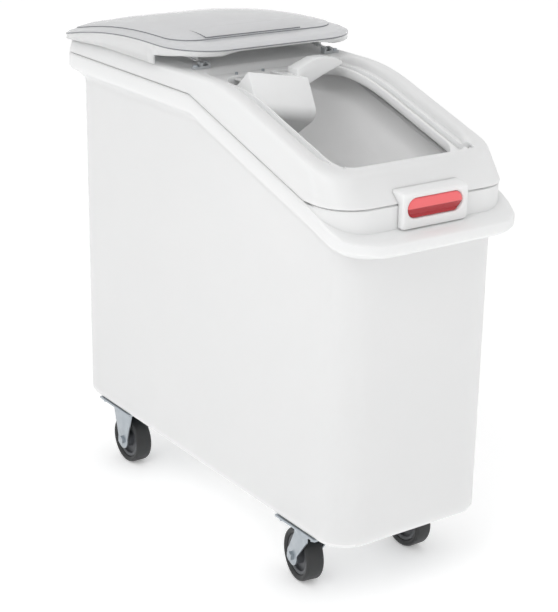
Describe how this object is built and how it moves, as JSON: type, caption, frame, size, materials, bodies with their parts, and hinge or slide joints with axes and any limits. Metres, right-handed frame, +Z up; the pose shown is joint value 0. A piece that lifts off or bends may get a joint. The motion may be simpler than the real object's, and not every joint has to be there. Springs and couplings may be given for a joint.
{
  "type": "rice bin with flip lid",
  "caption": "Tall narrow white ingredient bin on casters with a hinged slant top frame, a clear sliding lid open on the rear deck, a hanging scoop and a red thumb latch.",
  "frame": {"origin": "middle of the bin's length and width, on the floor that the casters stand on", "axes": "+Z up, +Y to the rear hinge, +X to the right seen from the latch end"},
  "size_m": [0.304, 0.749, 0.7221],
  "materials": {
    "body_plastic": "satin moulded polyethylene",
    "clear_plastic": "polished clear polycarbonate with a light grey tint",
    "scoop_plastic": "polished translucent polycarbonate",
    "red_plastic": "polished moulded plastic",
    "grey_plastic": "as moulded acetal",
    "zinc_steel": "bright zinc plated steel",
    "tyre_rubber": "smooth moulded rubber",
    "wheel_plastic": "as moulded nylon"
  },
  "bodies": {
    "tub": {"tub": "body_plastic", "hinge_pin_left": "zinc_steel", "hinge_pin_right": "zinc_steel", "rear_left_rig": "zinc_steel", "rear_left_bolt": "zinc_steel", "rear_left_nut": "zinc_steel", "rear_left_screws": "zinc_steel", "rear_right_rig": "zinc_steel", "rear_right_bolt": "zinc_steel", "rear_right_nut": "zinc_steel", "rear_right_screws": "zinc_steel", "front_left_plate": "zinc_steel", "front_left_kingpin": "zinc_steel", "front_left_screws": "zinc_steel", "front_right_plate": "zinc_steel", "front_right_kingpin": "zinc_steel", "front_right_screws": "zinc_steel"},
    "top_frame": {"top_frame": "body_plastic", "glide_block_left": "grey_plastic", "glide_block_right": "grey_plastic", "scoop_rack": "body_plastic", "frame_screws": "zinc_steel", "latch_pin": "zinc_steel", "latch_spring": "zinc_steel"},
    "lid": {"lid": "clear_plastic"},
    "latch": {"latch": "red_plastic"},
    "scoop": {"scoop": "scoop_plastic"},
    "rear_left_wheel": {"rear_left_tyre": "tyre_rubber", "rear_left_wheel": "wheel_plastic", "rear_left_bearing": "zinc_steel"},
    "rear_right_wheel": {"rear_right_tyre": "tyre_rubber", "rear_right_wheel": "wheel_plastic", "rear_right_bearing": "zinc_steel"},
    "front_left_fork": {"front_left_fork": "zinc_steel", "front_left_balls": "zinc_steel", "front_left_bolt": "zinc_steel", "front_left_nut": "zinc_steel"},
    "front_left_wheel": {"front_left_tyre": "tyre_rubber", "front_left_wheel": "wheel_plastic", "front_left_bearing": "zinc_steel"},
    "front_right_fork": {"front_right_fork": "zinc_steel", "front_right_balls": "zinc_steel", "front_right_bolt": "zinc_steel", "front_right_nut": "zinc_steel"},
    "front_right_wheel": {"front_right_tyre": "tyre_rubber", "front_right_wheel": "wheel_plastic", "front_right_bearing": "zinc_steel"}
  },
  "joints": [
    {"name": "frame_hinge", "type": "hinge", "parent": "tub", "child": "top_frame", "pos_m": [0, 0.3675, 0.6485], "axis": [-1, 0, 0], "range_deg": [0, 95]},
    {"name": "lid_run", "type": "hinge", "parent": "top_frame", "child": "lid", "pos_m": [0, 0.165, -0.406], "axis": [1, 0, 0], "range_deg": [0, 17.33]},
    {"name": "latch_pull", "type": "hinge", "parent": "top_frame", "child": "latch", "pos_m": [0, -0.3423, 0.5705], "axis": [-1, 0, 0], "range_deg": [0, 16], "stiffness_Nm_per_rad": 0.05},
    {"name": "scoop_lift", "type": "slide", "parent": "top_frame", "child": "scoop", "axis": [-0.15, 0.9292, -0.3379], "range_m": [-0.12, 0]},
    {"name": "rear_left_roll", "type": "hinge", "parent": "tub", "child": "rear_left_wheel", "pos_m": [-0.095, 0.252, 0.038], "axis": [1, 0, 0], "continuous": true},
    {"name": "rear_right_roll", "type": "hinge", "parent": "tub", "child": "rear_right_wheel", "pos_m": [0.095, 0.252, 0.038], "axis": [1, 0, 0], "continuous": true},
    {"name": "front_left_swivel", "type": "hinge", "parent": "tub", "child": "front_left_fork", "pos_m": [-0.095, -0.238, 0.08], "axis": [0, 0, 1], "continuous": true},
    {"name": "front_left_roll", "type": "hinge", "parent": "front_left_fork", "child": "front_left_wheel", "pos_m": [-0.09062, -0.21035, 0.038], "axis": [0.9877, -0.1564, 0], "continuous": true},
    {"name": "front_right_swivel", "type": "hinge", "parent": "tub", "child": "front_right_fork", "pos_m": [0.095, -0.238, 0.08], "axis": [0, 0, 1], "continuous": true},
    {"name": "front_right_roll", "type": "hinge", "parent": "front_right_fork", "child": "front_right_wheel", "pos_m": [0.095, -0.21, 0.038], "axis": [1, 0, 0], "continuous": true}
  ]
}
